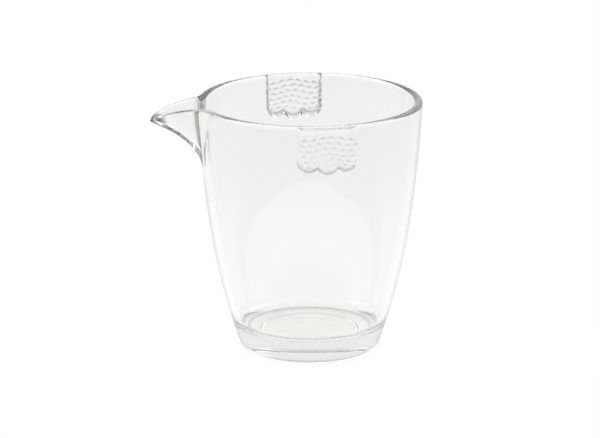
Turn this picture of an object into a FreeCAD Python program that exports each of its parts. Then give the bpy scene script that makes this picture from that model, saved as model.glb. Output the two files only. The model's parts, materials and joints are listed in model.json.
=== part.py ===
import FreeCAD, Part
import math
import os

import Sketcher
from FreeCAD import Placement, Rotation, Vector

# A clear glass serving pitcher for tea: a thick-based tapered cup, a fused pouring spout and
# two fused hammered grip pads. All lengths are in millimetres and all angles in degrees.
# +Z is up, the origin is the middle of the resting ring, the spout points along -X, and the
# grip pads face -Y (front) and +Y (rear).

SIZES = {
    # cup
    "vessel_height": 95.0,
    "rim_radius": 42.0,
    "belly_bulge": 3.6,
    "belly_height": 48.0,
    "foot_radius": 25.8,
    "upper_sweep": 470.0,
    "glass_wall": 3.0,
    "heel_round": 3.0,
    # thick base
    "floor_height": 8.4,
    "floor_shoulder": 9.4,
    "floor_slope": 3.0,
    "floor_round": 5.0,
    "resting_ring": 7.3,
    "punt_bevel": 1.6,
    "punt_depth": 0.9,
    # spout
    "spout_length": 19.3,
    "spout_root_drop": 24.7,
    "spout_root_half_width": 14.2,
    "spout_tip_half_width": 2.2,
    "spout_tip_thickness": 1.9,
    "spout_lip_drop": 5.1,
    "spout_lip_round": 0.7,
    "spout_side_glass": 2.5,
    "spout_root_glass": 2.1,
    "spout_tip_glass": 1.2,
    "channel_tip_depth": 0.9,
    # grip pads
    "pad_half_width": 11.9,
    "pad_thickness": 3.3,
    "pad_top_gap": 0.4,
    "pad_edge_round": 0.9,
    "pad_corner_drop": 13.9,
    "pad_cusp_drop": 16.0,
    "pad_cusp_offset": 3.9,
    "side_lobe_bulge": 2.2,
    "middle_lobe_bulge": 2.1,
    "dimple_round": 3.6,
    "dimple_depth": 0.45,
    "dimple_row_pitch": 2.35,
    "dimple_spacing": 3.25,
}

# How fast the spout's sides close in plan, and how fast its channel floor climbs.
SIDE_CURVE = 1.3
CHANNEL_CURVE = 0.42
# Radius of the spout's keel as a share of its half width.
KEEL_ROUND_SHARE = 0.45
SPOUT_STATIONS = 6
# Lengths by which a cutter, or a piece before it is trimmed, passes the glass that it meets.
ROOT_OVERLAP = 4.0
TIP_OVERRUN = 2.0
TOP_OVERRUN = 1.0
SLAB_OVERRUN = 2.0
CUT_MARGIN = 10.0
# How far below the pad's top its first row of dimples is, as a share of the rows' pitch.
FIRST_ROW_SHARE = 0.9
# Rounds of refinement that settle the place of the floor's corner, and the volume in cubic
# millimetres that counts as a cut.
SETTLING_ROUNDS = 30
LEAST_CUT = 0.01

# Sketcher numbers an edge's start, end and centre from 1, and calls its own origin (-1, 1).
START, END, CENTRE = range(1, 4)
ORIGIN = (-1, 1)
NOTHING = "0"

doc = FreeCAD.newDocument("serving_pitcher")


def make_sheet():
    """Write every driving size into the spreadsheet, one named cell each."""
    cells = doc.addObject("Spreadsheet::Sheet", "Sizes")
    for row, (name, number) in enumerate(SIZES.items(), start=1):
        cells.set(f"A{row}", name)
        cells.set(f"B{row}", str(number))
        cells.setAlias(f"B{row}", name)
    doc.recompute()
    return cells


sheet = make_sheet()


def size(name):
    """Refer to a cell of the sheet inside an expression."""
    return f"Sizes.{name}"


def value(expression):
    """Work out an expression as a plain number, to draw a sketch close to its solution."""
    result = sheet.evalExpression(expression)
    return float(getattr(result, "Value", result))


class Drawing:
    """A sketch whose outline is added edge by edge, with its sizes bound to the sheet."""

    def __init__(self, sketch):
        self.sketch = sketch

    def line(self, start, end):
        segment = Part.LineSegment(Vector(*start, 0), Vector(*end, 0))
        return self.sketch.addGeometry(segment, False)

    def arc(self, centre, radius, start, end):
        """Add an arc that runs anticlockwise about its centre from start to end."""
        first = math.atan2(start[1] - centre[1], start[0] - centre[0])
        last = math.atan2(end[1] - centre[1], end[0] - centre[0])
        circle = Part.Circle(Vector(*centre, 0), Vector(0, 0, 1), radius)
        return self.sketch.addGeometry(Part.ArcOfCircle(circle, first, last), False)

    def rule(self, *words):
        return self.sketch.addConstraint(Sketcher.Constraint(*words))

    def bind(self, expression, *words):
        """Add a dimension and bind it to the sheet."""
        index = self.rule(*words, value(expression))
        self.sketch.setExpression(f"Constraints[{index}]", expression)

    def across(self, geometry, end, expression):
        self.bind(expression, "DistanceX", *ORIGIN, geometry, end)

    def up(self, geometry, end, expression):
        self.bind(expression, "DistanceY", *ORIGIN, geometry, end)

    def place(self, geometry, end, across, up):
        self.across(geometry, end, across)
        self.up(geometry, end, up)

    def join(self, first, first_end, second, second_end):
        self.rule("Coincident", first, first_end, second, second_end)

    def blend(self, first, first_end, second, second_end):
        self.rule("Tangent", first, first_end, second, second_end)

    def pass_through(self, geometry, across, up):
        """Make a line, if it were longer, pass through a place given by the sheet."""
        mark = self.sketch.addGeometry(Part.Point(Vector(value(across), value(up), 0)), True)
        self.place(mark, START, across, up)
        self.rule("PointOnObject", mark, START, geometry)

    def name_measure(self, label, *words):
        """Add a named dimension that only reports what the solver found."""
        index = self.rule(*words, 1.0)
        self.sketch.setDriving(index, False)
        self.sketch.renameConstraint(index, label)


def mid(first, second):
    return ((first[0] + second[0]) / 2, (first[1] + second[1]) / 2)


def belly_radius():
    """The wall stands out at its belly from the straight line between its foot and its rim."""
    climb = f"{size('belly_height')} / {size('vessel_height')}"
    straight = f"{size('foot_radius')} + ({size('rim_radius')} - {size('foot_radius')}) * {climb}"
    return f"({straight} + {size('belly_bulge')})"


def draw_wall_curve():
    """Draw the cup's outer wall as two tangent arcs through the foot, the belly and the rim.

    The sketch's x is the radius and its y is the height. The arcs' centres and the lower
    radius are named, so that every piece that meets the wall follows the same curve.
    """
    sketch = doc.addObject("Sketcher::SketchObject", "wall_curve")
    drawing = Drawing(sketch)
    foot = (value(size("foot_radius")), 0.0)
    belly = (value(belly_radius()), value(size("belly_height")))
    rim = (value(size("rim_radius")), value(size("vessel_height")))
    sweep = value(size("upper_sweep"))

    chord = math.dist(belly, rim)
    back = math.sqrt(sweep ** 2 - chord ** 2 / 4)
    middle = mid(belly, rim)
    upper_centre = (
        middle[0] - back * (rim[1] - belly[1]) / chord,
        middle[1] + back * (rim[0] - belly[0]) / chord,
    )
    outward = ((belly[0] - upper_centre[0]) / sweep, (belly[1] - upper_centre[1]) / sweep)
    drop = (foot[0] - belly[0], foot[1] - belly[1])
    lean = drop[0] * outward[0] + drop[1] * outward[1]
    lower_sweep = -(drop[0] ** 2 + drop[1] ** 2) / (2 * lean)
    lower_centre = (belly[0] - lower_sweep * outward[0], belly[1] - lower_sweep * outward[1])

    lower = drawing.arc(lower_centre, lower_sweep, foot, belly)
    upper = drawing.arc(upper_centre, sweep, belly, rim)
    drawing.blend(lower, END, upper, START)
    drawing.place(lower, START, size("foot_radius"), NOTHING)
    drawing.place(lower, END, belly_radius(), size("belly_height"))
    drawing.place(upper, END, size("rim_radius"), size("vessel_height"))
    drawing.bind(size("upper_sweep"), "Radius", upper)
    drawing.name_measure("upper_across", "DistanceX", *ORIGIN, upper, CENTRE)
    drawing.name_measure("upper_up", "DistanceY", *ORIGIN, upper, CENTRE)
    drawing.name_measure("lower_across", "DistanceX", *ORIGIN, lower, CENTRE)
    drawing.name_measure("lower_up", "DistanceY", *ORIGIN, lower, CENTRE)
    drawing.name_measure("lower_sweep", "Radius", lower)
    doc.recompute()


def curve(name):
    """Refer to one of the wall curve's named measures as a plain number of millimetres."""
    return f"(wall_curve.Constraints.{name} / 1 mm)"


def wall_reach(height, outward="0"):
    """Give the radius of the upper wall at a height, or of a surface that far outside it."""
    sweep = f"({size('upper_sweep')} + ({outward}))"
    return f"({curve('upper_across')} + sqrt({sweep}^2 - (({height}) - {curve('upper_up')})^2))"


def make_body(label):
    """Make an empty PartDesign body named as its piece."""
    body = doc.addObject("PartDesign::Body", label)
    body.Label = label
    return body


def origin_item(body, role):
    return next(item for item in body.Origin.OriginFeatures if item.Role == role)


def new_drawing(body, name, role, offset=NOTHING):
    """Make a sketch on one of the body's origin planes, moved along the plane's normal."""
    sketch = body.newObject("Sketcher::SketchObject", name)
    sketch.AttachmentSupport = [(origin_item(body, role), "")]
    sketch.MapMode = "FlatFace"
    sketch.setExpression("AttachmentOffset.Base.z", offset)
    return Drawing(sketch)


def add_feature(body, kind, name, profile, **properties):
    """Add a feature to a body, build it, and return it."""
    feature = body.newObject(f"PartDesign::{kind}", name)
    feature.Profile = profile
    for key, setting in properties.items():
        setattr(feature, key, setting)
    doc.recompute()
    return feature


def must_shrink(body, before, name):
    """Stop if a cut took nothing away."""
    if body.Shape.Volume > before - LEAST_CUT:
        raise RuntimeError(f"{name} cut nothing")


def draw_cup_section(body):
    """Draw half of the cup's section: the outline of the glass on one side of the axis."""
    drawing = new_drawing(body, "cup_section", "XZ_Plane")
    wall, heel = value(size("glass_wall")), value(size("heel_round"))
    corner = value(size("floor_round"))
    upper_centre = (value(curve("upper_across")), value(curve("upper_up")))
    lower_centre = (value(curve("lower_across")), value(curve("lower_up")))
    upper_sweep, lower_sweep = value(size("upper_sweep")), value(curve("lower_sweep"))
    belly = (value(belly_radius()), value(size("belly_height")))
    height = value(size("vessel_height"))

    def reach(centre, radius, up):
        return (centre[0] + math.sqrt(radius ** 2 - (up - centre[1]) ** 2), up)

    def toward(centre, point, distance):
        whole = math.dist(centre, point)
        share = distance / whole
        return (centre[0] + (point[0] - centre[0]) * share, centre[1] + (point[1] - centre[1]) * share)

    heel_centre = reach(lower_centre, lower_sweep - heel, heel)
    heel_end = toward(lower_centre, heel_centre, lower_sweep)
    rim_centre = reach(upper_centre, upper_sweep - wall / 2, height - wall / 2)
    rim_start = toward(upper_centre, rim_centre, upper_sweep)
    rim_end = toward(upper_centre, rim_centre, upper_sweep - wall)
    belly_inside = toward(upper_centre, belly, upper_sweep - wall)

    slope = math.radians(value(size("floor_slope")))
    flat_radius = f"({size('foot_radius')} - {size('floor_shoulder')})"
    flat = (value(flat_radius), value(size("floor_height")))
    corner_up = flat[1] + corner
    for _ in range(SETTLING_ROUNDS):
        corner_centre = reach(lower_centre, lower_sweep - wall - corner, corner_up)
        rise = (corner_centre[0] - flat[0]) * math.tan(slope)
        corner_up = flat[1] + rise + corner / math.cos(slope)
    corner_start = toward(lower_centre, corner_centre, lower_sweep - wall)
    corner_end = (
        corner_centre[0] + corner * math.sin(slope),
        corner_centre[1] - corner * math.cos(slope),
    )
    punt = value(size("punt_depth"))
    ring_radius = f"({size('foot_radius')} - {size('resting_ring')})"
    ring = (value(ring_radius), 0.0)
    punt_edge = (ring[0] - value(size("punt_bevel")), punt)

    axis = drawing.line((0, flat[1]), (0, punt))
    punt_roof = drawing.line((0, punt), punt_edge)
    punt_side = drawing.line(punt_edge, ring)
    rest = drawing.line(ring, (heel_centre[0], 0))
    heel_arc = drawing.arc(heel_centre, heel, (heel_centre[0], 0), heel_end)
    outer_lower = drawing.arc(lower_centre, lower_sweep, heel_end, belly)
    outer_upper = drawing.arc(upper_centre, upper_sweep, belly, rim_start)
    rim_arc = drawing.arc(rim_centre, wall / 2, rim_start, rim_end)
    inner_upper = drawing.arc(upper_centre, upper_sweep - wall, belly_inside, rim_end)
    inner_lower = drawing.arc(lower_centre, lower_sweep - wall, corner_start, belly_inside)
    corner_arc = drawing.arc(corner_centre, corner, corner_end, corner_start)
    floor_rise = drawing.line(corner_end, flat)
    floor = drawing.line(flat, (0, flat[1]))

    drawing.join(axis, END, punt_roof, START)
    drawing.join(punt_roof, END, punt_side, START)
    drawing.join(punt_side, END, rest, START)
    drawing.blend(rest, END, heel_arc, START)
    drawing.blend(heel_arc, END, outer_lower, START)
    drawing.join(outer_lower, END, outer_upper, START)
    drawing.blend(outer_upper, END, rim_arc, START)
    drawing.blend(rim_arc, END, inner_upper, END)
    drawing.blend(inner_upper, START, inner_lower, END)
    drawing.blend(inner_lower, START, corner_arc, END)
    drawing.blend(corner_arc, START, floor_rise, START)
    drawing.join(floor_rise, END, floor, START)
    drawing.join(floor, END, axis, START)

    drawing.place(axis, START, NOTHING, size("floor_height"))
    drawing.place(axis, END, NOTHING, size("punt_depth"))
    drawing.rule("Horizontal", punt_roof)
    drawing.across(punt_roof, END, f"{ring_radius} - {size('punt_bevel')}")
    drawing.place(punt_side, END, ring_radius, NOTHING)
    drawing.rule("Horizontal", rest)
    drawing.bind(size("heel_round"), "Radius", heel_arc)
    drawing.place(outer_lower, CENTRE, curve("lower_across"), curve("lower_up"))
    drawing.bind(curve("lower_sweep"), "Radius", outer_lower)
    drawing.up(outer_lower, END, size("belly_height"))
    drawing.place(outer_upper, CENTRE, curve("upper_across"), curve("upper_up"))
    drawing.up(rim_arc, CENTRE, f"{size('vessel_height')} - {size('glass_wall')} / 2")
    drawing.join(inner_upper, CENTRE, outer_upper, CENTRE)
    drawing.bind(f"{size('upper_sweep')} - {size('glass_wall')}", "Radius", inner_upper)
    drawing.join(inner_lower, CENTRE, outer_lower, CENTRE)
    drawing.bind(size("floor_round"), "Radius", corner_arc)
    drawing.across(floor, START, flat_radius)
    drawing.rule("Horizontal", floor)
    run = f"({flat_radius} + {size('floor_round')})"
    rise = f"{size('floor_height')} + {size('floor_round')} * tan({size('floor_slope')} * 1 deg)"
    drawing.pass_through(floor_rise, run, rise)
    return drawing.sketch


def draw_spout_section(body, name, reach, half_width, keel, top, lip_round=None):
    """Draw one upright section across the spout: a V with a rounded keel, closed on top.

    The corners of the V lie at half_width and top. Where lip_round is given they are rounded.
    """
    drawing = new_drawing(body, name, "YZ_Plane", f"-({reach})")
    width, low, high = value(half_width), value(keel), value(top)
    keel_round = f"({half_width}) * {KEEL_ROUND_SHARE}"
    radius = width * KEEL_ROUND_SHARE
    centre = (0.0, low + radius)
    # Each side is a line from its corner that touches the keel's arc.
    gap = math.hypot(width, high - centre[1])
    turn = math.atan2(high - centre[1], width) - math.acos(radius / gap)
    foot = (radius * math.cos(turn), centre[1] + radius * math.sin(turn))
    lip = value(lip_round) if lip_round else 0.0
    run = math.hypot(width - foot[0], high - foot[1])
    along = ((width - foot[0]) / run, (high - foot[1]) / run)
    setback = lip / math.tan(math.acos(along[0]) / 2)
    side_end = (width - setback * along[0], high - setback * along[1])
    top_end = width - setback

    keel_arc = drawing.arc(centre, radius, (-foot[0], foot[1]), foot)
    right_side = drawing.line(foot, side_end)
    top_line = drawing.line((top_end, high), (-top_end, high))
    left_side = drawing.line((-side_end[0], side_end[1]), (-foot[0], foot[1]))
    drawing.blend(keel_arc, END, right_side, START)
    drawing.blend(left_side, END, keel_arc, START)
    if lip_round:
        right_lip = drawing.arc((top_end, high - lip), lip, side_end, (top_end, high))
        left_lip = drawing.arc(
            (-top_end, high - lip), lip, (-top_end, high), (-side_end[0], side_end[1])
        )
        drawing.blend(right_side, END, right_lip, START)
        drawing.blend(right_lip, END, top_line, START)
        drawing.blend(top_line, END, left_lip, START)
        drawing.blend(left_lip, END, left_side, START)
        drawing.bind(lip_round, "Radius", right_lip)
        drawing.bind(lip_round, "Radius", left_lip)
        drawing.up(top_line, START, top)
        drawing.rule("Horizontal", top_line)
        drawing.pass_through(right_side, half_width, top)
        drawing.pass_through(left_side, f"-({half_width})", top)
    else:
        drawing.join(right_side, END, top_line, START)
        drawing.join(top_line, END, left_side, START)
        drawing.place(right_side, END, half_width, top)
        drawing.place(left_side, START, f"-({half_width})", top)
    drawing.place(keel_arc, CENTRE, NOTHING, f"({keel}) + {keel_round}")
    drawing.bind(keel_round, "Radius", keel_arc)
    return drawing.sketch


def spout_root_height():
    return f"({size('vessel_height')} - {size('spout_root_drop')})"


def spout_root_reach():
    """The spout leaves the outer wall where the wall passes the height of its keel."""
    return wall_reach(spout_root_height())


def spout_half_width(share, root, tip):
    """Half the width at a share of the way from root to tip, with sides that curve inward."""
    return f"({tip} + ({root} - {tip}) * (1 - {share})^{SIDE_CURVE})"


def spout_top(share):
    return f"({size('vessel_height')} - {size('spout_lip_drop')} * {share}^2)"


def spout_keel(climb):
    """Height of the keel at a share of its climb from the wall to the tip."""
    rise = f"({size('spout_root_drop')} - {size('spout_lip_drop')} - {size('spout_tip_thickness')})"
    return f"({spout_root_height()} + {rise} * {climb})"


def channel_floor(beyond_wall):
    """Height of the channel's floor at a distance outside the wall's inner face."""
    run = f"({size('spout_length')} + {size('glass_wall')})"
    low = f"({spout_root_height()} + {size('spout_root_glass')})"
    rise = f"({spout_top(1.0)} - {size('channel_tip_depth')} - {low})"
    return f"({low} + {rise} * (({beyond_wall}) / {run})^{CHANNEL_CURVE})"


def cut_spout_opening(body):
    """Open the cup's wall where the spout is let in."""
    opening = draw_spout_section(
        body,
        "spout_opening",
        NOTHING,
        size("spout_root_half_width"),
        spout_root_height(),
        size("vessel_height"),
    )
    before = body.Shape.Volume
    add_feature(body, "Pocket", "spout_notch", opening, Type="ThroughAll")
    must_shrink(body, before, "spout_notch")


def make_cup():
    """The cup: one revolved solid of glass, opened on one side for the spout."""
    body = make_body("glass_cup")
    section = draw_cup_section(body)
    doc.recompute()
    add_feature(
        body, "Revolution", "cup_blank", section, ReferenceAxis=(section, ["V_Axis"]), Angle=360.0
    )
    cut_spout_opening(body)
    return body


def trim_inside_wall(body):
    """Cut away all that would stand inside the cup, so that the root ends flush with its wall."""
    drawing = new_drawing(body, "cup_inside", "XZ_Plane")
    low = size("belly_height")
    high = f"({size('vessel_height')} + {CUT_MARGIN})"
    inner = f"-{size('glass_wall')}"
    centre = (value(curve("upper_across")), value(curve("upper_up")))
    sweep = value(size("upper_sweep")) - value(size("glass_wall"))
    foot = (value(wall_reach(low, inner)), value(low))
    head = (value(wall_reach(high, inner)), value(high))
    wall_arc = drawing.arc(centre, sweep, foot, head)
    top_line = drawing.line(head, (0, head[1]))
    axis = drawing.line((0, head[1]), (0, foot[1]))
    floor = drawing.line((0, foot[1]), foot)
    drawing.join(wall_arc, END, top_line, START)
    drawing.join(top_line, END, axis, START)
    drawing.join(axis, END, floor, START)
    drawing.join(floor, END, wall_arc, START)
    drawing.place(wall_arc, CENTRE, curve("upper_across"), curve("upper_up"))
    drawing.bind(f"{size('upper_sweep')} - {size('glass_wall')}", "Radius", wall_arc)
    drawing.place(axis, START, NOTHING, high)
    drawing.place(axis, END, NOTHING, low)
    drawing.rule("Horizontal", top_line)
    drawing.rule("Horizontal", floor)
    doc.recompute()
    before = body.Shape.Volume
    groove = add_feature(body, "Groove", "root_trim", drawing.sketch, Angle=360.0)
    groove.ReferenceAxis = (drawing.sketch, ["V_Axis"])
    doc.recompute()
    must_shrink(body, before, "root_trim")


def hollow(body, name, stations, ruled):
    """Cut a loft through sections given by their reach, half width, floor and top."""
    sections = [
        draw_spout_section(
            body, f"{name}_section_{index}", reach, width, floor, f"{top} + {TOP_OVERRUN}"
        )
        for index, (reach, width, floor, top) in enumerate(stations)
    ]
    doc.recompute()
    before = body.Shape.Volume
    add_feature(
        body, "SubtractiveLoft", name, sections[0], Sections=sections[1:], Ruled=ruled
    )
    must_shrink(body, before, name)


def make_spout():
    """The spout: a horn let into the wall, hollowed from above by its pouring channel."""
    body = make_body("pouring_spout")
    root = spout_root_reach()
    shares = [(station / SPOUT_STATIONS) ** 2 for station in range(SPOUT_STATIONS + 1)]
    reaches = [f"({root} + {size('spout_length')} * {share})" for share in shares]
    outer_root, outer_tip = size("spout_root_half_width"), size("spout_tip_half_width")

    horn = [
        draw_spout_section(
            body,
            f"horn_section_{station}",
            reaches[station],
            spout_half_width(share, outer_root, outer_tip),
            spout_keel(station / SPOUT_STATIONS),
            spout_top(share),
            lip_round=size("spout_lip_round"),
        )
        for station, share in enumerate(shares)
    ]
    doc.recompute()
    add_feature(body, "AdditiveLoft", "horn", horn[0], Sections=horn[1:])
    root_section = draw_spout_section(
        body,
        "root_section",
        root,
        outer_root,
        spout_keel(0.0),
        spout_top(0.0),
        lip_round=size("spout_lip_round"),
    )
    doc.recompute()
    plug = add_feature(body, "Pad", "root_plug", root_section)
    plug.setExpression("Length", f"{size('glass_wall')} + {ROOT_OVERLAP}")
    doc.recompute()

    inner_root = f"({outer_root} - {size('spout_side_glass')})"
    inner_tip = f"({outer_tip} - {size('spout_tip_glass')})"
    wall = size("glass_wall")
    throat = [
        (f"({root} - {wall} - {ROOT_OVERLAP})", channel_floor(NOTHING)),
        (f"({root} - {wall})", channel_floor(NOTHING)),
        (f"({root} - {wall} / 2)", channel_floor(f"{wall} / 2")),
        (root, channel_floor(wall)),
    ]
    throat_stations = [(reach, inner_root, floor, spout_top(0.0)) for reach, floor in throat]
    hollow(body, "throat", throat_stations, ruled=True)

    stations = []
    for reach, share in zip(reaches, shares):
        width = spout_half_width(share, inner_root, inner_tip)
        floor = channel_floor(f"{wall} + {size('spout_length')} * {share}")
        stations.append((reach, width, floor, spout_top(share)))
    last_reach, last_width, last_floor, last_top = stations[-1]
    stations.append((f"({last_reach} + {TIP_OVERRUN})", last_width, last_floor, last_top))
    hollow(body, "channel", stations, ruled=False)
    trim_inside_wall(body)
    return body


def draw_pad_section(body):
    """Draw the pad's upright section: a band that lies on the outer wall, round at its top."""
    drawing = new_drawing(body, "pad_section", "YZ_Plane")
    centre = (value(curve("upper_across")), value(curve("upper_up")))
    sweep, thick = value(size("upper_sweep")), value(size("pad_thickness"))
    top = f"({size('vessel_height')} - {size('pad_top_gap')})"
    lobe_bottom = f"{size('vessel_height')} - {size('pad_cusp_drop')} - {size('middle_lobe_bulge')}"
    bottom = f"({lobe_bottom} - {SLAB_OVERRUN})"
    edge = value(size("pad_edge_round"))
    inner_low = (value(wall_reach(bottom)), value(bottom))
    inner_high = (value(wall_reach(top)), value(top))
    outer_low = (value(wall_reach(bottom, size("pad_thickness"))), value(bottom))
    round_up = value(top) - edge
    round_across = centre[0] + math.sqrt((sweep + thick - edge) ** 2 - (round_up - centre[1]) ** 2)
    round_centre = (round_across, round_up)
    share = (sweep + thick) / (sweep + thick - edge)
    round_start = tuple(centre[i] + (round_centre[i] - centre[i]) * share for i in (0, 1))
    round_end = (round_across, value(top))

    inner = drawing.arc(centre, sweep, inner_low, inner_high)
    outer = drawing.arc(centre, sweep + thick, outer_low, round_start)
    top_round = drawing.arc(round_centre, edge, round_start, round_end)
    top_line = drawing.line(round_end, inner_high)
    bottom_line = drawing.line(inner_low, outer_low)
    drawing.blend(outer, END, top_round, START)
    drawing.blend(top_round, END, top_line, START)
    drawing.join(top_line, END, inner, END)
    drawing.join(inner, START, bottom_line, START)
    drawing.join(bottom_line, END, outer, START)
    drawing.place(inner, CENTRE, curve("upper_across"), curve("upper_up"))
    drawing.bind(size("upper_sweep"), "Radius", inner)
    drawing.join(outer, CENTRE, inner, CENTRE)
    drawing.bind(f"{size('upper_sweep')} + {size('pad_thickness')}", "Radius", outer)
    drawing.bind(size("pad_edge_round"), "Radius", top_round)
    drawing.rule("Horizontal", top_line)
    drawing.rule("Horizontal", bottom_line)
    drawing.up(inner, END, top)
    drawing.up(inner, START, bottom)
    return drawing.sketch


def lobe_radius(chord, bulge):
    """Radius of an arc that stands out from its chord by a bulge."""
    return f"((({chord})^2 / 4 + {bulge}^2) / (2 * {bulge}))"


def draw_lobes(body):
    """Draw the glass to cut away below the pad, above which its three lobes are left."""
    drawing = new_drawing(body, "lobe_outline", "XZ_Plane")
    top = value(size("vessel_height"))
    edge, cusp = value(size("pad_half_width")), value(size("pad_cusp_offset"))
    corner_up, cusp_up = top - value(size("pad_corner_drop")), top - value(size("pad_cusp_drop"))
    side = edge + CUT_MARGIN
    low = cusp_up - value(size("middle_lobe_bulge")) - CUT_MARGIN
    corners = [(-edge, corner_up), (-cusp, cusp_up), (cusp, cusp_up), (edge, corner_up)]
    side_chord = (
        f"sqrt(({size('pad_half_width')} - {size('pad_cusp_offset')})^2"
        f" + ({size('pad_cusp_drop')} - {size('pad_corner_drop')})^2)"
    )
    side_radius = lobe_radius(side_chord, size("side_lobe_bulge"))
    middle_radius = lobe_radius(f"2 * {size('pad_cusp_offset')}", size("middle_lobe_bulge"))

    lobes = []
    for start, end, radius in zip(corners, corners[1:], [side_radius, middle_radius, side_radius]):
        half = math.dist(start, end) / 2
        rise = math.sqrt(value(radius) ** 2 - half ** 2)
        middle = mid(start, end)
        along = ((end[0] - start[0]) / (2 * half), (end[1] - start[1]) / (2 * half))
        centre = (middle[0] - along[1] * rise, middle[1] + along[0] * rise)
        lobe = drawing.arc(centre, value(radius), start, end)
        drawing.bind(radius, "Radius", lobe)
        lobes.append(lobe)
    for lobe, following in zip(lobes, lobes[1:]):
        drawing.join(lobe, END, following, START)

    right_side = drawing.line(corners[3], (side, corner_up))
    right_drop = drawing.line((side, corner_up), (side, low))
    base = drawing.line((side, low), (-side, low))
    left_rise = drawing.line((-side, low), (-side, corner_up))
    left_side = drawing.line((-side, corner_up), corners[0])
    chain = [right_side, right_drop, base, left_rise, left_side]
    drawing.join(lobes[2], END, right_side, START)
    for line, following in zip(chain, chain[1:]):
        drawing.join(line, END, following, START)
    drawing.join(left_side, END, lobes[0], START)

    corner = f"({size('vessel_height')} - {size('pad_corner_drop')})"
    cusp_height = f"({size('vessel_height')} - {size('pad_cusp_drop')})"
    width, inset = size("pad_half_width"), size("pad_cusp_offset")
    drawing.place(lobes[0], START, f"-{width}", corner)
    drawing.place(lobes[1], START, f"-{inset}", cusp_height)
    drawing.place(lobes[2], START, inset, cusp_height)
    drawing.place(lobes[2], END, width, corner)
    base_height = f"{cusp_height} - {size('middle_lobe_bulge')} - {CUT_MARGIN}"
    drawing.place(base, START, f"{width} + {CUT_MARGIN}", base_height)
    drawing.across(base, END, f"-({width} + {CUT_MARGIN})")
    drawing.rule("Horizontal", base)
    drawing.rule("Horizontal", right_side)
    drawing.rule("Horizontal", left_side)
    drawing.rule("Vertical", right_drop)
    drawing.rule("Vertical", left_rise)
    return drawing.sketch


def hammer_rows(body):
    """Press staggered rows of shallow round dimples into the pad's outer face."""
    pitch, spacing = size("dimple_row_pitch"), size("dimple_spacing")
    rows = int(value(f"({size('pad_cusp_drop')} + {size('middle_lobe_bulge')}) / {pitch}"))
    across = int(value(f"2 * {size('pad_half_width')} / {spacing}"))
    for row in range(rows):
        top = f"({size('vessel_height')} - {size('pad_top_gap')})"
        height = f"({top} - {pitch} * ({row} + {FIRST_ROW_SHARE}))"
        face = wall_reach(height, size("pad_thickness"))
        reach = f"({face} - {size('dimple_depth')} + {size('dimple_round')})"
        count = across - row % 2
        step = f"({spacing} / {face} * 1 rad)"
        turn = f"({step} * ({count} - 1) / 2)"
        ball = body.newObject("PartDesign::SubtractiveSphere", f"dimple_{row}")
        ball.setExpression("Radius", size("dimple_round"))
        ball.setExpression("Placement.Base.x", f"{reach} * sin({turn})")
        ball.setExpression("Placement.Base.y", f"{reach} * cos({turn})")
        ball.setExpression("Placement.Base.z", height)
        doc.recompute()
        before = body.Shape.Volume
        pattern = body.newObject("PartDesign::PolarPattern", f"dimple_row_{row}")
        pattern.Originals = [ball]
        pattern.Axis = (origin_item(body, "Z_Axis"), [""])
        pattern.Mode = "Spacing"
        pattern.setExpression("Offset", step)
        pattern.Occurrences = count
        body.Tip = pattern
        doc.recompute()
        must_shrink(body, before, pattern.Name)


def make_pad(label, facing):
    """One grip pad: a slab fused on the outer wall, lobed below and hammered on its face."""
    body = make_body(label)
    section = draw_pad_section(body)
    doc.recompute()
    slab = add_feature(
        body, "Revolution", "pad_slab", section, ReferenceAxis=(section, ["V_Axis"]), Midplane=True
    )
    face = wall_reach(size("vessel_height"), size("pad_thickness"))
    slab.setExpression("Angle", f"2 * asin({size('pad_half_width')} / {face})")
    doc.recompute()
    lobes = draw_lobes(body)
    doc.recompute()
    before = body.Shape.Volume
    add_feature(body, "Pocket", "lobe_cut", lobes, Type="ThroughAll")
    must_shrink(body, before, "lobe_cut")
    hammer_rows(body)
    body.Placement = Placement(Vector(), Rotation(Vector(0, 0, 1), facing))
    return body


def check_all(pieces):
    """Stop if any object failed, or if a piece is not one sound solid."""
    for item in doc.Objects:
        if "Invalid" in item.State or "Error" in item.State:
            raise RuntimeError(f"{item.Label} failed: {item.State}")
    for piece in pieces:
        shape = piece.Shape
        if shape.isNull() or not shape.isValid() or len(shape.Solids) != 1:
            raise RuntimeError(f"{piece.Label} is not one sound solid")


draw_wall_curve()
pieces = [
    make_cup(),
    make_spout(),
    make_pad("front_grip_pad", 180.0),
    make_pad("rear_grip_pad", 0.0),
]
doc.recompute()
check_all(pieces)
os.makedirs("parts", exist_ok=True)
for piece in pieces:
    piece.Shape.exportStep(f"parts/{piece.Label}.step")
    print(f"{piece.Label}: {piece.Shape.Volume:.1f} cubic mm")
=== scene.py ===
import json
import math

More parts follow.
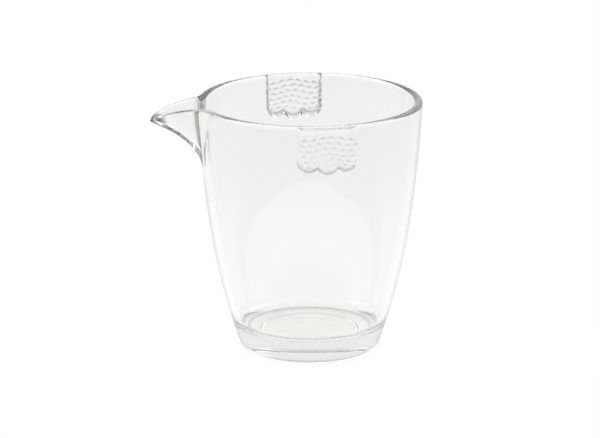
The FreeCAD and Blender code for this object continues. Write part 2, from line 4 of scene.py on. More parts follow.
import bmesh
import bpy
from bpy.props import FloatProperty, FloatVectorProperty, IntProperty, PointerProperty
from bpy.types import Operator, Panel, PropertyGroup
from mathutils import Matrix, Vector

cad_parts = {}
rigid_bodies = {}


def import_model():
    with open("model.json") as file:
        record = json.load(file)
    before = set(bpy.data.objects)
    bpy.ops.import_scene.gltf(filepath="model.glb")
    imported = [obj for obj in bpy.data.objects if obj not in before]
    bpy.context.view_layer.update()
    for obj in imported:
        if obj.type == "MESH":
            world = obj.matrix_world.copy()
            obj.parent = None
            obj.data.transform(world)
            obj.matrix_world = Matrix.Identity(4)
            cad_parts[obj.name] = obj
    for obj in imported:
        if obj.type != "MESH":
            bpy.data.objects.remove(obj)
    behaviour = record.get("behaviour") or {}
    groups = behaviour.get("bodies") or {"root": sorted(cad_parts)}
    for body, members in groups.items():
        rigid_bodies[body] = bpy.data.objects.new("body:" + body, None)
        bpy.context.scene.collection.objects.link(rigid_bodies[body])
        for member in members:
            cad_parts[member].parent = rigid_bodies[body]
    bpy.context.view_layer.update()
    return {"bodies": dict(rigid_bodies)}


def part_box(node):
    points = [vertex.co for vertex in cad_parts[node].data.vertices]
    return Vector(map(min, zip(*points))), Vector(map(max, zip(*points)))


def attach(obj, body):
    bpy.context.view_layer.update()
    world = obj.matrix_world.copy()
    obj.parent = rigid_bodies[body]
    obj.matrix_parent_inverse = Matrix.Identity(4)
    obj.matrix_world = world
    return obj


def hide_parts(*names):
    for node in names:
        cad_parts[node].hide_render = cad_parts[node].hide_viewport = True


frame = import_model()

bl_info = {
    "name": "Glass Serving Pitcher",
    "version": (1, 0, 0),
    "blender": (4, 5, 0),
    "location": "3D View > Sidebar > Pitcher",
    "description": "A clear glass serving pitcher with a drawn spout and two hammered grip pads",
    "category": "Object",
}

MM = 0.001
CUP_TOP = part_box("glass_cup")[1].z
BODY = next(iter(frame["bodies"]))


def length(name, description, millimetres):
    """A length that a user may change, given in millimetres and kept in metres."""
    return FloatProperty(
        name=name, description=description, default=millimetres * MM, unit="LENGTH", precision=5
    )


def angle(name, description, degrees):
    """An angle that a user may change, given in degrees and kept in radians."""
    return FloatProperty(
        name=name, description=description, default=math.radians(degrees), subtype="ANGLE"
    )


def number(name, description, default):
    """A plain number that a user may change."""
    return FloatProperty(name=name, description=description, default=default)


def colour(name, description, default):
    """A colour that a user may change."""
    return FloatVectorProperty(
        name=name, description=description, default=default, size=3, min=0, max=1, subtype="COLOR"
    )


class CupSizes(PropertyGroup):
    """Sizes of the cup's section."""

    height: length("Height", "From the table to the top of the rim", CUP_TOP / MM)
    rim_radius: length("Rim radius", "Outer radius where the wall would meet the rim's top", 42.0)
    belly_radius: length("Belly radius", "Outer radius where the wall's two curves meet", 37.6)
    belly_height: length("Belly height", "Height at which the wall's two curves meet", 48.0)
    foot_radius: length("Foot radius", "Outer radius where the wall would meet the table", 25.8)
    upper_sweep: length("Upper sweep", "Radius of the curve from the belly to the rim", 470.0)
    wall: length("Wall", "Thickness of the wall", 3.0)
    rim_round: length("Rim round", "Radius of the rim's rounded edges", 1.49)
    # Painted shade: the height of the dark line around the foot.
    foot_shade: length("Foot shade", "Height of the darker line around the foot", 1.7)
    heel_round: length("Heel round", "Radius of the outer edge of the foot", 3.0)
    floor_height: length("Floor height", "From the table to the flat of the floor", 8.4)
    floor_flat: length("Floor flat", "Radius of the flat of the floor", 16.4)
    floor_round: length("Floor round", "Radius between the floor and the wall", 5.0)
    floor_slope: angle("Floor slope", "Climb of the floor's outer part", 3.0)
    ring_radius: length("Ring radius", "Inner radius of the ring that the cup rests on", 18.5)
    punt_bevel: length("Punt bevel", "Width of the bevel around the recess below", 1.6)
    punt_depth: length("Punt depth", "Depth of the recess below", 0.9)
    columns: IntProperty(name="Columns", description="Faces around the cup", default=288)
    rows: IntProperty(name="Rows", description="Faces up each side of the wall", default=118)
    crowding: number("Crowding", "How much closer the rows are near the rim", 1.8)


class SpoutSizes(PropertyGroup):
    """Sizes of the spout that is drawn out of the cup's wall."""

    root_height: length("Root height", "Height at which the keel leaves the wall", 70.3)
    reach: length("Reach", "How far the tip stands out from the wall", 18.2)
    lip_drop: length("Lip drop", "How far the tip is below the rim", 4.6)
    lip_dip: length("Lip dip", "Depth of the channel in the tip", 0.7)
    tip_fill: length("Tip fill", "How much thicker the glass is at the very tip", 0.8)
    lip_wall: length("Lip wall", "Thickness of the glass in the spout", 1.75)
    spread: angle("Spread", "Half the angle that the spout takes up at the rim", 11.0)
    bluntness: angle("Bluntness", "Half the angle of the tip's blunt end", 2.2)
    root_blend: number("Root blend", "How softly the spout's sides leave the wall", 0.14)
    narrowing: number("Narrowing", "How fast the spout narrows towards its keel", 1.2)
    keel_power: number("Keel power", "How slowly the keel leaves the wall", 1.93)


class PadSizes(PropertyGroup):
    """Sizes of the two hammered grip pads."""

    half_width: length("Half width", "Half the width of a pad's face", 11.9)
    thickness: length("Thickness", "How far a pad stands out from the wall", 3.3)
    top_gap: length("Top gap", "How far a pad's top is below the rim", 0.4)
    corner_drop: length("Corner drop", "From the rim to the pad's lower corners", 13.9)
    cusp_drop: length("Cusp drop", "From the rim to the cusps between the lobes", 16.0)
    cusp_offset: length("Cusp offset", "From the pad's middle to each cusp", 3.9)
    side_bulge: length("Side bulge", "How far the side lobes stand out from their chords", 2.2)
    middle_bulge: length("Middle bulge", "How far the middle lobe stands out", 2.1)
    side_slope: length("Side slope", "Width of a pad's sloping sides", 1.7)
    top_round: length("Top round", "Height of a pad's rounded top edge", 2.4)
    bottom_round: length("Bottom round", "Height of a pad's rounded lower edge", 1.7)
    # Painted shade along a pad's lower edge: its height.
    fold_height: length("Fold height", "Height of the shade along a pad's lower edge", 2.7)
    edge_blend: number("Edge blend", "How softly a pad's face turns into its sides", 0.07)
    dimple_depth: length("Dimple depth", "Depth of the hammered dimples", 0.4)
    front_round: length("Front round", "Radius of the bowls of the front pad's dimples", 2.35)
    rear_round: length("Rear round", "Radius of the bowls of the rear pad's dimples", 2.75)
    dimple_blend: length("Dimple blend", "How softly one dimple turns into the next", 0.12)
    row_pitch: length("Row pitch", "From one row of dimples to the next", 2.1)
    spacing: length("Spacing", "From one dimple to the next in its row", 3.2)
    waver: length("Waver", "How far the rows of dimples wander", 0.65)
    columns: IntProperty(name="Columns", description="Faces across a pad", default=96)
    rows: IntProperty(name="Rows", description="Faces down a pad", default=84)


class GlassLook(PropertyGroup):
    """Colours and finish of the glass."""

    tint: colour("Tint", "Colour of light that passes the glass's surface", (0.965, 0.965, 0.955))
    depth_tint: colour("Depth tint", "Colour that thick glass turns to", (0.872, 0.877, 0.864))
    depth_density: number("Depth density", "How fast thick glass takes its colour", 25.0)
    pad_tint: colour("Pad tint", "Colour of light that passes a pad's face", (0.93, 0.93, 0.917))
    # Painted shade: a dark colour that the glass takes at its silhouette, where light skims the
    # wall.
    edge_tint: colour("Edge tint", "Colour of light that skims the wall", (0.14, 0.15, 0.14))
    # Painted shade: a dark colour along the pads' lower edges, around the foot and at the spout's
    # tip.
    fold_tint: colour("Fold tint", "Colour of light that passes a fold", (0.13, 0.14, 0.125))
    shadow_tint: colour("Shadow tint", "Colour of light on its way down", (0.99, 0.99, 0.988))
    refraction: number("Refraction", "Index of refraction", 1.5)


class StageLook(PropertyGroup):
    """The floor, the light and the camera."""

    floor: colour("Floor", "Colour of the floor by the cup", (0.99, 0.99, 0.99))
    # Painted shade: the floor turns darker away from the cup, down to a dark far end, for dimmer
    # light far off.
    backdrop: colour("Backdrop", "Colour of the floor far from the cup", (0.885, 0.885, 0.885))
    distance_colour: colour("Distance", "Colour of the floor's far end", (0.48, 0.48, 0.48))
    end: length("End", "How far from the cup the floor's far end is", 750.0)
    shadow_near: length("Shadow", "How far from the cup's axis its shadow shows fully", 34.0)
    shadow_far: length("Shadow's end", "How far from the cup's axis its shadow fades out", 95.0)
    near: length("Near", "How far from the cup the floor starts to turn to the backdrop", 60.0)
    far: length("Far", "How far from the cup the floor has turned to the backdrop", 330.0)
    fill: number("Fill", "Level of the plain light", 0.9)
    dark_level: number("Dark level", "Level of the dark wall behind the camera", 0.25)
    dark_low: angle("Dark from", "Where the dark wall starts above the horizon", 7.0)
    dark_high: angle("Dark to", "Where the dark wall ends above the horizon", 48.0)
    box_size: length("Soft box", "Width of each soft box", 1300.0)
    box_distance: length("Soft box distance", "From the cup to each soft box", 2600.0)
    box_climb: angle("Soft box climb", "How high the soft boxes hang", 38.0)
    box_power: number("Soft box power", "Power of each soft box", 9.0)
    distance: length("Distance", "From the camera to the cup's axis, along the floor", 1300.0)
    camera_height: length("Camera height", "Height of the camera", 424.5)
    azimuth: angle("Azimuth", "The camera's place around the cup", -8.8)
    pitch: angle("Pitch", "How far the camera looks down", 16.13)
    lens: number("Lens", "Focal length", 216.8)


# ---------------------------------------------------------------- shapes

# Faces along each part of the cup's section.
HEEL_STEPS, RIM_EDGE_STEPS, RIM_TOP_STEPS, CORNER_STEPS = 16, 8, 6, 12
BEVEL_STEPS, RING_STEPS, SLOPE_STEPS, MIDDLE_STEPS = 9, 5, 4, 10
CORNER_ROUNDS = 30  # rounds that bring the floor's corner to rest against the wall
COLUMNS_NEAR = 0.12  # how close the cup's columns are at the spout, against their average
WELD = 1e-6  # distance within which the spin's points become one
GRID_CROWDING = 0.35  # how much closer together a pad's grid lines are at its edges

# The painted shade line around the foot: the inset of the heel where it starts, as a share of the
# heel's radius, its strength, and the share of its height up to which it is full.
HEEL_INSET, FOOT_SHADE, FOOT_FULL = 0.9, 0.7, 0.45
# The painted silhouette shade is weaker beside the spout: by how much, between which turns from
# the spout's middle, and from how far below the spout's root.
CLEARING, CLEAR_TURNS, CLEAR_FROM = 0.8, (math.radians(20.0), math.radians(28.0)), -0.3
# Shares of the spout's reach over which the painted silhouette shade fades, and over which the
# spout's tip takes painted shade.
SILHOUETTE_SHADE_FADE, TIP_SHADE_SPAN = (0.02, 0.2), (0.88, 0.96)


class WallCurve:
    """The cup's outer wall in section: two tangent arcs through the foot, belly and rim."""

    def __init__(self, cup):
        foot = Vector((cup.foot_radius, 0.0))
        belly = Vector((cup.belly_radius, cup.belly_height))
        rim = Vector((cup.rim_radius, cup.height))
        chord = rim - belly
        back = math.sqrt(cup.upper_sweep ** 2 - chord.length_squared / 4)
        inward = Vector((-chord.y, chord.x)).normalized()
        self.belly = cup.belly_height
        self.upper = ((belly + rim) / 2 + inward * back, cup.upper_sweep)
        outward = (belly - self.upper[0]).normalized()
        drop = foot - belly
        sweep = -drop.length_squared / (2 * drop.dot(outward))
        self.lower = (belly - outward * sweep, sweep)

    def radius(self, height, inward=0.0):
        """Radius at a height, of the wall or of a surface that far inside it."""
        centre, sweep = self.upper if height >= self.belly else self.lower
        return centre.x + math.sqrt((sweep - inward) ** 2 - (height - centre.y) ** 2)


def arc_points(centre, radius, first, last, steps):
    """Points of an arc in section, its two ends included, from first to last in radians."""
    turns = [first + (last - first) * step / steps for step in range(steps + 1)]
    return [(centre[0] + radius * math.cos(t), centre[1] + radius * math.sin(t)) for t in turns]


def straight_points(start, end, steps):
    """Points between two ends in section, the ends themselves left out."""
    shares = [step / steps for step in range(1, steps)]
    return [tuple(a + (b - a) * s for a, b in zip(start, end)) for s in shares]


def crowded_heights(cup, low, high):
    """Heights of the rows between two ends of the wall, closer together near the rim."""
    falls = [(1 - step / cup.rows) ** cup.crowding for step in range(1, cup.rows)]
    return [high - (high - low) * fall for fall in falls]


def cup_section(cup, curve):
    """The outline of the glass on one side of the axis, from below the middle to above it."""
    heel = cup.heel_round
    heel_across = curve.radius(heel, heel)
    lower_centre, upper_centre = curve.lower[0], curve.upper[0]
    heel_lean = math.atan2(heel - lower_centre.y, heel_across - lower_centre.x)
    heel_arc = arc_points((heel_across, heel), heel, -math.pi / 2, heel_lean, HEEL_STEPS)

    # The rim is a narrow flat top between two rounded edges.
    edge = cup.rim_round
    rim_up = cup.height - edge
    outer_across, inner_across = curve.radius(rim_up, edge), curve.radius(rim_up, cup.wall - edge)
    lean = math.atan2(rim_up - upper_centre.y, outer_across - upper_centre.x)
    upright = math.pi / 2
    outer_edge = arc_points((outer_across, rim_up), edge, lean, upright, RIM_EDGE_STEPS)
    inner_edge = arc_points((inner_across, rim_up), edge, upright, lean + math.pi, RIM_EDGE_STEPS)
    top = straight_points(outer_edge[-1], inner_edge[0], RIM_TOP_STEPS)
    rim_arc = outer_edge + top + inner_edge

    slope, corner = cup.floor_slope, cup.floor_round
    corner_up = cup.floor_height + corner
    for _ in range(CORNER_ROUNDS):
        corner_across = curve.radius(corner_up, cup.wall + corner)
        rise = (corner_across - cup.floor_flat) * math.tan(slope)
        corner_up = cup.floor_height + rise + corner / math.cos(slope)
    wall_lean = math.atan2(corner_up - lower_centre.y, corner_across - lower_centre.x)
    corner_arc = arc_points(
        (corner_across, corner_up), corner, wall_lean, slope - math.pi / 2, CORNER_STEPS
    )

    ring = (cup.ring_radius, 0.0)
    crown = (ring[0] - cup.punt_bevel, cup.punt_depth)
    bevel = []
    for step in range(1, BEVEL_STEPS):
        out = step / BEVEL_STEPS
        bevel.append((ring[0] - cup.punt_bevel * (1 - out), cup.punt_depth * (1 - out ** 2)))
    flat = (cup.floor_flat, cup.floor_height)
    below, above = (0.0, cup.punt_depth), (0.0, cup.floor_height)
    outside = crowded_heights(cup, heel_arc[-1][1], rim_arc[0][1])
    inside = crowded_heights(cup, corner_arc[0][1], rim_arc[-1][1])
    points = [below] + straight_points(below, crown, MIDDLE_STEPS) + [crown] + bevel + [ring]
    points += straight_points(ring, heel_arc[0], RING_STEPS) + heel_arc
    points += [(curve.radius(up), up) for up in outside] + rim_arc
    points += [(curve.radius(up, cup.wall), up) for up in reversed(inside)]
    points += corner_arc + straight_points(corner_arc[-1], flat, SLOPE_STEPS) + [flat]
    points += straight_points(flat, above, MIDDLE_STEPS) + [above]
    return points


def smooth_step(low, high, x):
    """Climb smoothly from 0 at low to 1 at high."""
    t = min(max((x - low) / (high - low), 0.0), 1.0)
    return t * t * (3 - 2 * t)


def quarter_round(x):
    """Height of a quarter of a circle at a share of its width."""
    return math.sqrt(1 - (1 - min(max(x, 0.0), 1.0)) ** 2)


def soft_least(values, blend):
    """The least of some values, with the corners between them rounded."""
    least = min(values)
    return least - blend * math.log(sum(math.exp((least - value) / blend) for value in values))


class SpoutShape:
    """How the spout draws the cup's wall out, at a turn from its middle and a share of height."""

    SWELL, SWELL_SPAN = 0.13, (0.62, 0.98)  # the keel's extra reach near the rim, and where
    CAP_BLEND = 0.04  # how softly the keel comes to its full reach
    DIP_WIDTH = 0.6  # width of the channel in the tip, as a share of the tip's bluntness
    THIN_SPAN, FILL_SPAN = (0.0, 0.4), (0.8, 1.0)  # where the glass thins, and fills again
    NUDGE = 0.002  # half the distance over which a slope is measured

    def __init__(self, cup, spout, curve):
        self.cup, self.spout, self.curve = cup, spout, curve

    def keel(self, rise):
        """How far the keel stands out, as a share of the spout's reach."""
        swell = 1 + self.SWELL * smooth_step(*self.SWELL_SPAN, rise)
        return soft_least((rise ** self.spout.keel_power * swell, 1.0), self.CAP_BLEND)

    def stand(self, turn, rise):
        """How far the outside stands out from the plain wall."""
        spout = self.spout
        if rise <= 0:
            return 0.0
        spread = spout.spread * rise ** spout.narrowing
        off = math.hypot(turn, spout.bluntness) - spout.bluntness
        side = -soft_least((0.0, off / spread - 1), spout.root_blend)
        return spout.reach * self.keel(rise) * side

    def crest(self, turn):
        """Height of the rim at a turn, which falls towards the tip."""
        out = self.stand(turn, 1.0) / self.spout.reach
        dip = math.exp(-((turn / (self.DIP_WIDTH * self.spout.bluntness)) ** 2))
        return self.cup.height - self.spout.lip_drop * out ** 2 - self.spout.lip_dip * dip

    def height(self, turn, rise):
        """Height of a point of the drawn wall."""
        low = self.spout.root_height
        return low + rise * (self.crest(turn) - low)

    def outside(self, turn, rise):
        """Radius of the outer surface."""
        return self.curve.radius(self.height(turn, rise)) + self.stand(turn, rise)

    def thickness(self, turn, rise):
        """Thickness of the glass, measured towards the axis."""
        nudge, span = self.NUDGE, 2 * self.NUDGE
        out = self.outside(turn, rise)
        around = (self.outside(turn + nudge, rise) - self.outside(turn - nudge, rise)) / span
        above = min(rise + nudge, 1.0)
        climb = self.height(turn, above) - self.height(turn, above - span)
        upward = (self.outside(turn, above) - self.outside(turn, above - span)) / climb
        drawn = self.stand(turn, rise) / self.spout.reach
        thin = smooth_step(*self.THIN_SPAN, drawn)
        glass = self.cup.wall + (self.spout.lip_wall - self.cup.wall) * thin
        glass += self.spout.tip_fill * smooth_step(*self.FILL_SPAN, drawn)
        return glass * math.sqrt(1 + thin * (around / out) ** 2 + upward ** 2)

    def place(self, turn, radius, up):
        """Move a point of the plain cup to where the drawn wall has it."""
        span = self.cup.height - self.spout.root_height
        rise = (up - self.spout.root_height) / span
        if rise <= 0:
            return radius, up
        outer, inner = self.curve.radius(up), self.curve.radius(up, self.cup.wall)
        across = (outer - radius) / (outer - inner)
        drawn = self.outside(turn, rise) - across * self.thickness(turn, rise)
        return drawn, self.height(turn, rise)


def crowd(turn):
    """Bring the cup's columns closer together around the spout."""
    return turn * (COLUMNS_NEAR + (1 - COLUMNS_NEAR) * (abs(turn) / math.pi) ** 2)


def finish_piece(name, bm, material, slot, *nodes):
    """Make an object of a mesh, give it its finish and let it stand for its CAD nodes."""
    mesh = bpy.data.meshes.new(name)
    for face in bm.faces:
        face.smooth = True
    bm.to_mesh(mesh)
    bm.free()
    piece = bpy.data.objects.new(name, mesh)
    bpy.context.scene.collection.objects.link(piece)
    mesh.materials.append(material)
    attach(piece, BODY)
    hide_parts(*nodes)
    return piece


def shade_section(cup, curve, vert, skin, painted_shade):
    """Mark where the section's outside takes painted silhouette shade, and a painted shade line at
    its foot.
    """
    across, up = -vert.co.x, vert.co.z
    outer = across > curve.radius(up) - cup.wall / 2
    wide = across > curve.radius(cup.heel_round, HEEL_INSET * cup.heel_round)
    foot = FOOT_SHADE * (1 - smooth_step(FOOT_FULL * cup.foot_shade, cup.foot_shade, up))
    vert[skin] = 1.0 if outer and wide else 0.0
    vert[painted_shade] = foot if wide else 0.0


def make_cup_mesh(cup, spout):
    """Spin the cup's section, then draw the spout out of its wall."""
    curve = WallCurve(cup)
    shape = SpoutShape(cup, spout, curve)
    bm = bmesh.new()
    skin, painted_shade = bm.verts.layers.float.new("skin"), bm.verts.layers.float.new("painted_shade")
    chain = [bm.verts.new((-across, 0.0, up)) for across, up in cup_section(cup, curve)]
    for vert in chain:
        shade_section(cup, curve, vert, skin, painted_shade)
    edges = [bm.edges.new(pair) for pair in zip(chain, chain[1:])]
    bmesh.ops.spin(
        bm, geom=chain + edges, cent=(0, 0, 0), axis=(0, 0, 1), angle=2 * math.pi,
        steps=cup.columns, use_merge=True,
    )
    bmesh.ops.remove_doubles(bm, verts=bm.verts, dist=WELD)
    bmesh.ops.recalc_face_normals(bm, faces=bm.faces)
    for vert in bm.verts:
        radius = math.hypot(vert.co.x, vert.co.y)
        if radius < WELD:
            continue
        turn = crowd(math.atan2(vert.co.y, -vert.co.x))
        rise = (vert.co.z - spout.root_height) / (cup.height - spout.root_height)
        drawn = shape.stand(turn, rise) / spout.reach
        # Painted silhouette shade, weakened beside the spout and faded out on the spout itself.
        beside = 1 - smooth_step(*CLEAR_TURNS, abs(turn))
        vert[skin] *= 1 - CLEARING * beside * smooth_step(CLEAR_FROM, 0.0, rise)
        if drawn > 0:
            vert[skin] *= 1 - smooth_step(*SILHOUETTE_SHADE_FADE, drawn)
            # The spout's tip takes painted shade.
            vert[painted_shade] = smooth_step(*TIP_SHADE_SPAN, drawn)
        radius, up = shape.place(turn, radius, vert.co.z)
        vert.co = (-radius * math.cos(turn), radius * math.sin(turn), up)
    return bm


class PadShape:
    """The outline and the hammered face of a grip pad."""

    # The waves that make the rows wander: length, sway, and length of the sway.
    ACROSS_WAVE = (1.7 * MM, 1.1, 3.9 * MM)
    DOWN_WAVE = (2.6 * MM, 1.7, 4.3 * MM)
    FIRST_ROW = 0.9  # rows from the pad's top to the first row of dimples
    FLATNESS = 2.0  # how much flatter the bowls are across than down
    EDGE_FOOT = 0.05  # height of the rounded edges where they start, as a share of the full one
    SIDE_FOOT, SIDE_CLIMB = 0.12, 0.95  # the same for the sloping sides, and their climb
    SKIM = 0.03 * MM  # the base's depth in the wall, and the least height of the face over it

    def __init__(self, cup, pad, curve, facing=1):
        self.pad, self.curve = pad, curve
        self.bowl = pad.front_round if facing > 0 else pad.rear_round
        self.top = cup.height - pad.top_gap
        self.corner = cup.height - pad.corner_drop
        self.cusp = cup.height - pad.cusp_drop
        self.face = curve.radius(cup.height) + pad.thickness
        self.half_turn = math.asin(pad.half_width / self.face)
        self.lobes = self.make_lobes()

    def make_lobes(self):
        """Each lobe's end across, with its arc's centre and radius."""
        pad = self.pad
        ends = [
            Vector((-pad.half_width, self.corner)), Vector((-pad.cusp_offset, self.cusp)),
            Vector((pad.cusp_offset, self.cusp)), Vector((pad.half_width, self.corner)),
        ]
        bulges = [pad.side_bulge, pad.middle_bulge, pad.side_bulge]
        lobes = []
        for start, end, bulge in zip(ends, ends[1:], bulges):
            chord = end - start
            radius = (chord.length_squared / 4 + bulge ** 2) / (2 * bulge)
            upward = Vector((-chord.y, chord.x)).normalized()
            centre = (start + end) / 2 + upward * (radius - bulge)
            lobes.append((end.x, centre, radius))
        return lobes

    def bottom(self, across):
        """Height of the pad's lobed lower edge."""
        for end, centre, radius in self.lobes:
            if across <= end or end == self.pad.half_width:
                return centre.y - math.sqrt(max(radius ** 2 - (across - centre.x) ** 2, 0.0))

    def wander(self, along, beside, wave):
        """How far a wave along one way moves the dimples, swayed by how far beside it they are."""
        wave_length, sway, sway_length = wave
        swayed = along / wave_length + sway * math.sin(beside / sway_length)
        return self.pad.waver * math.sin(swayed)

    def relief(self, across, up):
        """Depth of the hammering: wandering, staggered rows of overlapping shallow bowls."""
        pad = self.pad
        down = self.top - up
        across += self.wander(down, across, self.ACROSS_WAVE)
        down += self.wander(across, down, self.DOWN_WAVE)
        row = down / pad.row_pitch - self.FIRST_ROW
        total = 1.0
        for near in range(math.floor(row) - 1, math.floor(row) + 3):
            shift = 0.5 * (near % 2)
            column = across / pad.spacing - shift
            for place in range(math.floor(column) - 1, math.floor(column) + 3):
                side = (place + shift) * pad.spacing - across
                rise = (near - row) * pad.row_pitch
                fall = (side ** 2 / self.FLATNESS + rise ** 2) / (2 * self.bowl)
                total += math.exp((pad.dimple_depth - fall) / pad.dimple_blend)
        return pad.dimple_blend * math.log(total)

    def edge(self, share):
        """Height of a rounded edge at a share of its width."""
        return self.EDGE_FOOT + (1 - self.EDGE_FOOT) * quarter_round(share)

    def above_edge(self, u, v):
        """How far a point of the unit grid is above the pad's lower edge."""
        low = self.bottom(self.face * math.sin(self.half_turn * u))
        return (self.top - low) * (v + 1) / 2

    def place(self, u, v, lift):
        """Put a point of the unit grid on the wall, or on the pad's face where lift is 1."""
        pad = self.pad
        turn = self.half_turn * u
        across = self.face * math.sin(turn)
        low = self.bottom(across)
        up = low + self.above_edge(u, v)
        side, above, below = (1 - abs(u)) * pad.half_width, self.top - up, up - low
        height = pad.thickness - self.relief(across, up)
        height *= self.edge(above / pad.top_round)
        height *= self.edge(below / pad.bottom_round)
        climb = self.SIDE_FOOT + self.SIDE_CLIMB * side / pad.side_slope
        height *= soft_least((1.0, climb), pad.edge_blend)
        radius = self.curve.radius(up) + (max(height, self.SKIM) if lift else -self.SKIM)
        return radius * math.sin(turn), -radius * math.cos(turn), up


def spread_out(place):
    """Bring a pad's grid lines closer together towards its edges."""
    return place * (1 + GRID_CROWDING - GRID_CROWDING * place ** 2)


def make_pad_mesh(cup, pad, facing):
    """Wrap a grid on the wall, raise its copy to the hammered face, and close the edge."""
    shape = PadShape(cup, pad, WallCurve(cup), facing)
    bm = bmesh.new()
    bmesh.ops.create_grid(bm, x_segments=pad.columns, y_segments=pad.rows, size=1.0)
    raised = bmesh.ops.extrude_face_region(bm, geom=bm.faces[:], use_keep_orig=True)
    for item in raised["geom"]:
        if isinstance(item, bmesh.types.BMVert):
            item.co.z = 1.0
    bmesh.ops.recalc_face_normals(bm, faces=bm.faces)
    fused = bm.faces.layers.float.new("fused")
    painted_shade = bm.verts.layers.float.new("painted_shade")
    for face in bm.faces:
        face[fused] = 1.0 if max(vert.co.z for vert in face.verts) < 0.5 else 0.0
    for vert in bm.verts:
        u, v = spread_out(vert.co.x), spread_out(vert.co.y)
        # Painted shade along the pad's lower edge.
        vert[painted_shade] = max(1 - shape.above_edge(u, v) / pad.fold_height, 0.0)
        x, y, z = shape.place(u, v, vert.co.z > 0.5)
        vert.co = (x * facing, y * facing, z)
    bmesh.ops.recalc_face_normals(bm, faces=bm.faces)
    for edge in bm.edges:
        edge.smooth = len({face[fused] for face in edge.link_faces}) == 1
    return bm


# ---------------------------------------------------------------- materials


class Wire:
    """A node's output socket that Python's arithmetic adds Math nodes to."""

    def __init__(self, sheet, socket):
        self.sheet, self.socket = sheet, socket

    def maths(self, operation, *values):
        """Add a Math node."""
        return self.sheet.node("ShaderNodeMath", {"operation": operation}, *values)

    def __add__(self, other):
        return self.maths("ADD", self, other)

    def __radd__(self, other):
        return self.maths("ADD", other, self)

    def __sub__(self, other):
        return self.maths("SUBTRACT", self, other)

    def __rsub__(self, other):
        return self.maths("SUBTRACT", other, self)

    def __mul__(self, other):
        return self.maths("MULTIPLY", self, other)

    def __rmul__(self, other):
        return self.maths("MULTIPLY", other, self)

    def __truediv__(self, other):
        return self.maths("DIVIDE", self, other)

    def __rtruediv__(self, other):
        return self.maths("DIVIDE", other, self)

    def __pow__(self, other):
        return self.maths("POWER", self, other)

    def __abs__(self):
        return self.maths("ABSOLUTE", self)

    def __lt__(self, other):
        return self.maths("LESS_THAN", self, other)

    def __gt__(self, other):
        return self.maths("GREATER_THAN", self, other)

    def root(self):
        """The square root."""
        return self.maths("SQRT", self)

    def most(self, other):
        """The greater of two."""
        return self.maths("MAXIMUM", self, other)

    def ramp(self, low, high, start=0.0, end=1.0):
        """Map low to high smoothly on to start to end, and hold beyond them."""
        settings = {"interpolation_type": "SMOOTHSTEP"}
        return self.sheet.node("ShaderNodeMapRange", settings, self, low, high, start, end)


class NodeSheet:
    """A node tree that takes a node's type, settings and inputs in one call."""

    def __init__(self, tree):
        self.tree = tree
        tree.nodes.clear()

    def node(self, kind, settings=None, *inputs, output=0, **named):
        """Add a node. Inputs are given in order or by name, as values or as wires."""
        node = self.tree.nodes.new(kind)
        for key, setting in (settings or {}).items():
            setattr(node, key, setting)
        sockets = list(zip(node.inputs, inputs))
        sockets += [(node.inputs[key.replace("_", " ")], value) for key, value in named.items()]
        for socket, value in sockets:
            if isinstance(value, Wire):
                self.tree.links.new(value.socket, socket)
            else:
                socket.default_value = value
        return Wire(self, node.outputs[output]) if node.outputs else node

    def split(self, vector):
        """The three numbers of a vector."""
        first = self.node("ShaderNodeSeparateXYZ", None, vector)
        outputs = first.socket.node.outputs
        return [Wire(self, outputs[index]) for index in range(3)]

    def blend(self, share, first, second):
        """A colour between two others."""
        return self.node(
            "ShaderNodeMix", {"data_type": "RGBA"}, share, A=first, B=second, output="Result"
        )

    def place(self):
        """Object coordinates."""
        return self.node("ShaderNodeTexCoord", output="Object")


def opaque_colour(rgb):
    """A colour as the nodes take it."""
    return (*rgb, 1.0)


# The glass's ripples: their form, and their scale and height on each kind of glass.
RIPPLE = {"Detail": 1.5, "Roughness": 0.4}
CLEAR_RIPPLE, HAMMERED_RIPPLE = (45.0, 0.02 * MM), (300.0, 0.01 * MM)
# The clouds in which the glass is a little less than perfectly smooth.
CLOUD = {"Scale": 60.0, "Detail": 2.0}
CLOUD_SPAN, CLOUD_ROUGHNESS = (0.4, 0.75), (0.0, 0.012)
SKIM_SPAN = (0.72, 0.95)  # how far a face has to turn away before it takes the painted silhouette shade
CONTACT_SLACK = 0.06 * MM  # how far inside a pad's outline the cup is see-through


